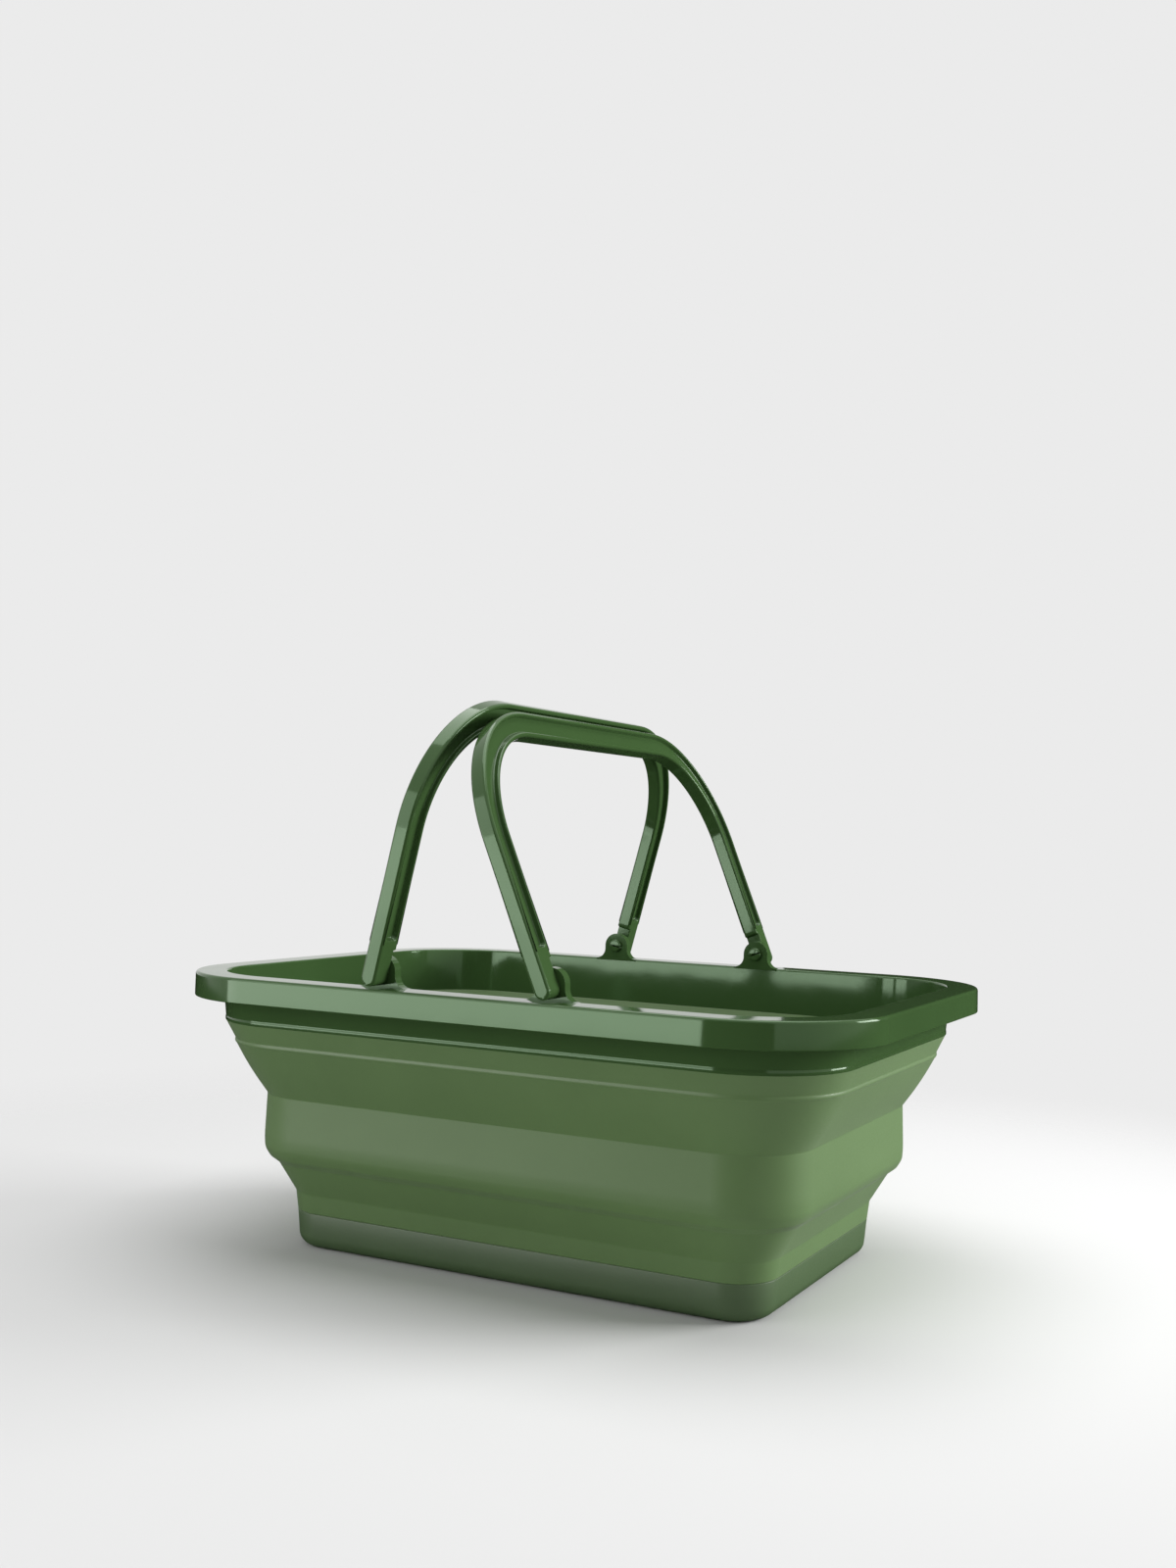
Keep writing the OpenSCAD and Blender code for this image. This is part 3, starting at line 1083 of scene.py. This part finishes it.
    def flags(self) -> None:
        """Stands dark boards behind the object and far in front of it, which only reflections see."""
        for name, middle, depth, size in (("back_flag", 0.45, 1.1, (1.5, 0.9)), ("front_flag", 0.45, -1.5, (1.6, 0.9))):
            deselect()
            centre = (middle, depth, size[1] / 2)
            bpy.ops.mesh.primitive_plane_add(size=1, rotation=(math.radians(90), 0, 0), location=centre)
            board = adopt(name)
            with editing(board):
                bpy.ops.mesh.select_all(action="SELECT")
                bpy.ops.transform.resize(value=(size[0], 1, size[1]), center_override=centre)
            self._hide(board)

    @staticmethod
    def camera() -> None:
        """Sets the camera: its place, its yaw, downward pitch and roll, and its lens."""
        yaw, pitch_down, roll = (math.radians(angle) for angle in (27.92, 7.48, 1.51))
        back = Vector((math.sin(yaw) * math.cos(pitch_down), -math.cos(yaw) * math.cos(pitch_down),
                       math.sin(pitch_down)))
        right = Vector((0, 0, 1)).cross(back).normalized()
        up = back.cross(right)
        turn = Matrix((right, up, back)).transposed() @ Matrix.Rotation(roll, 3, "Z")
        data = bpy.data.cameras.new("camera")
        data.sensor_width = 36
        data.lens = 35.52
        data.shift_x, data.shift_y = 0.0053, 0.164
        camera = bpy.data.objects.new("camera", data)
        camera.matrix_world = Matrix.Translation((0.3865, -0.7396, 0.2240)) @ turn.to_4x4()
        bpy.context.scene.collection.objects.link(camera)
        bpy.context.scene.camera = camera

    def build(self) -> None:
        """Sets up everything round the object."""
        bpy.context.scene.view_settings.view_transform = "Standard"
        self.world()
        self.ground()
        self.table()
        self.flags()
        self.lamps()
        self.camera()


# ---------------------------------------------------------------- the whole crate


def leans(pivots: dict[Side, Vector], left_lean: float = 14.6, reach: float = 135.5, thick: float = 8.2,
          grip_gap: float = 0.35) -> dict[Side, float]:
    """Works out how far both handles lean until the grips meet.

    Args:
        pivots: The middle of each handle's pivot axis in metres.
        left_lean: The left handle's lean in degrees.
        reach: Height of a grip's top above its pivot in millimetres.
        thick: Thickness of a handle in millimetres.
        grip_gap: Gap between the grips in millimetres.

    Returns:
        Each handle's lean in degrees.
    """
    spacing = (pivots[Side.RIGHT].x - pivots[Side.LEFT].x) / MM
    across = spacing * math.cos(math.radians(left_lean)) - thick / 2 - grip_gap
    right_lean = math.degrees(math.asin(across / math.hypot(reach, thick / 2))
                              - math.atan(thick / 2 / reach)) - left_lean
    return {Side.LEFT: left_lean, Side.RIGHT: right_lean}


def main() -> None:
    """Builds the stage and each sub-assembly in turn, and reports each piece."""
    logging.basicConfig(level=logging.INFO, format="%(name)s: %(message)s")
    Studio().build()
    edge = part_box("rim_frame")[1]
    plan = Plan(edge.x / MM, edge.y / MM)
    gloss, soft, matt = (finish.material() for finish in
                         (GLOSSY_POLYPROPYLENE, SATIN_RUBBER, MATT_POLYPROPYLENE))
    hinges = {joint["child"]: joint for joint in frame["joints"]}
    pivots = {}
    for side in Side:
        pivots[side] = Vector(hinges[f"{side.name.lower()}_handle"]["pos_m"])
    Rim(plan, gloss, pivots[Side.RIGHT].x / MM, pivots[Side.RIGHT].z / MM).build()
    Bellows(plan, soft).build()
    BaseTray(plan, matt).build()
    for side, lean in leans(pivots).items():
        Handle(side, gloss, lean, pivots[side]).build()


if __name__ == "__main__":
    main()
